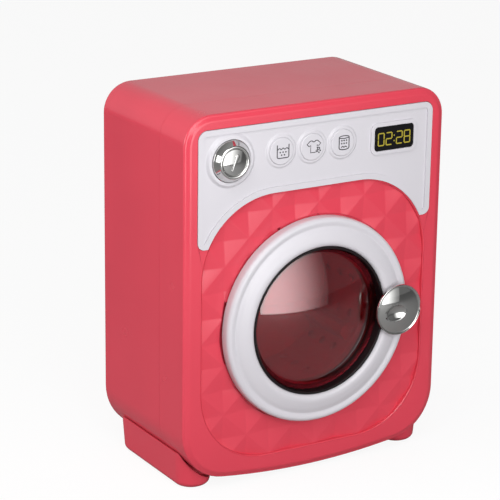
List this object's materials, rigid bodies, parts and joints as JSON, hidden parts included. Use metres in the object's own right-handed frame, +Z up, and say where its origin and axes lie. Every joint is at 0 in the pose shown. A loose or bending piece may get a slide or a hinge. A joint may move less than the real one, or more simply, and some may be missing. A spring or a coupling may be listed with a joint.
{
  "type": "toy washing machine",
  "caption": "Toy front-loading washing machine with a hinged round door, clear red lens, program dial, buttons and a motor-driven drum.",
  "frame": {"origin": "middle of the toy's footprint on the surface that the two runners stand on", "axes": "+Z up, the door and the controls face -Y, +X to the viewer's right"},
  "size_m": [0.14, 0.0904, 0.18],
  "materials": {
    "coral_plastic": "gloss",
    "white_plastic": "gloss",
    "chromed_plastic": "mirror",
    "red_clear": "gloss",
    "black_gloss": "gloss",
    "steel": "satin",
    "circuit_green": "satin",
    "black_plastic": "matte",
    "grey_plastic": "satin",
    "gear_plastic": "satin",
    "brass": "satin",
    "motor_steel": "satin",
    "battery": "satin"
  },
  "bodies": {
    "casing": {"front_casing": "coral_plastic", "rear_casing": "coral_plastic", "casing_screws": "steel", "control_panel": "white_plastic", "panel_screws": "steel", "display_window": "black_gloss", "display_module": "black_plastic", "rotary_switch": "black_plastic", "tact_switches": "black_plastic", "circuit_board": "circuit_green", "board_screws": "steel", "hinge_pin": "steel", "door_catch": "steel", "tub": "grey_plastic", "tub_screws": "steel", "drum_bush": "brass", "idler_axles": "steel", "motor": "motor_steel", "gear_cover": "grey_plastic", "gear_cover_screws": "steel", "speaker": "black_plastic", "battery_cells": "battery", "battery_contacts": "steel"},
    "door": {"door_ring": "white_plastic", "door_lens": "red_clear", "door_liner": "white_plastic", "liner_screws": "steel", "door_handle": "chromed_plastic", "handle_screw": "steel"},
    "dial": {"dial_knob": "chromed_plastic"},
    "tub_button": {"button_tub": "white_plastic"},
    "shirt_button": {"button_shirt": "white_plastic"},
    "drum_button": {"button_drum": "white_plastic"},
    "wash_drum": {"drum": "grey_plastic", "drum_shaft": "steel", "drum_gear": "gear_plastic"},
    "low_idler": {"idler_low": "gear_plastic"},
    "high_idler": {"idler_high": "gear_plastic"},
    "motor_rotor": {"motor_shaft": "steel", "motor_pinion": "brass"},
    "battery_lid": {"battery_cover": "coral_plastic", "battery_screw": "steel"}
  },
  "joints": [
    {"name": "door_hinge", "type": "hinge", "parent": "casing", "child": "door", "pos_m": [-0.0462, -0.03575, 0.076], "axis": [0, 0, -1], "range_deg": [0, 100]},
    {"name": "dial_turn", "type": "hinge", "parent": "casing", "child": "dial", "pos_m": [-0.0465, -0.03475, 0.158], "axis": [0, -1, 0], "range_deg": [-150, 150]},
    {"name": "tub_button_press", "type": "slide", "parent": "casing", "child": "tub_button", "axis": [0, 1, 0], "range_m": [0, 0.0012], "stiffness_N_per_m": 800},
    {"name": "shirt_button_press", "type": "slide", "parent": "casing", "child": "shirt_button", "axis": [0, 1, 0], "range_m": [0, 0.0012], "stiffness_N_per_m": 800},
    {"name": "drum_button_press", "type": "slide", "parent": "casing", "child": "drum_button", "axis": [0, 1, 0], "range_m": [0, 0.0012], "stiffness_N_per_m": 800},
    {"name": "drum_spin", "type": "hinge", "parent": "casing", "child": "wash_drum", "pos_m": [0, 0.00525, 0.076], "axis": [0, -1, 0], "continuous": true},
    {"name": "low_idler_spin", "type": "hinge", "parent": "casing", "child": "low_idler", "pos_m": [0, 0.02225, 0.112], "axis": [0, -1, 0], "continuous": true},
    {"name": "high_idler_spin", "type": "hinge", "parent": "casing", "child": "high_idler", "pos_m": [0.02145, 0.02525, 0.12277], "axis": [0, -1, 0], "continuous": true},
    {"name": "motor_spin", "type": "hinge", "parent": "casing", "child": "motor_rotor", "pos_m": [0.0429, 0.02525, 0.112], "axis": [0, -1, 0], "continuous": true},
    {"name": "battery_cover_slide", "type": "slide", "parent": "casing", "child": "battery_lid", "axis": [0, 1, 0], "range_m": [0, 0.03]}
  ],
  "couplings": [
    {"joint": "low_idler_spin", "follows": "drum_spin", "ratio": -5},
    {"joint": "high_idler_spin", "follows": "drum_spin", "ratio": 15},
    {"joint": "motor_spin", "follows": "drum_spin", "ratio": -45}
  ]
}
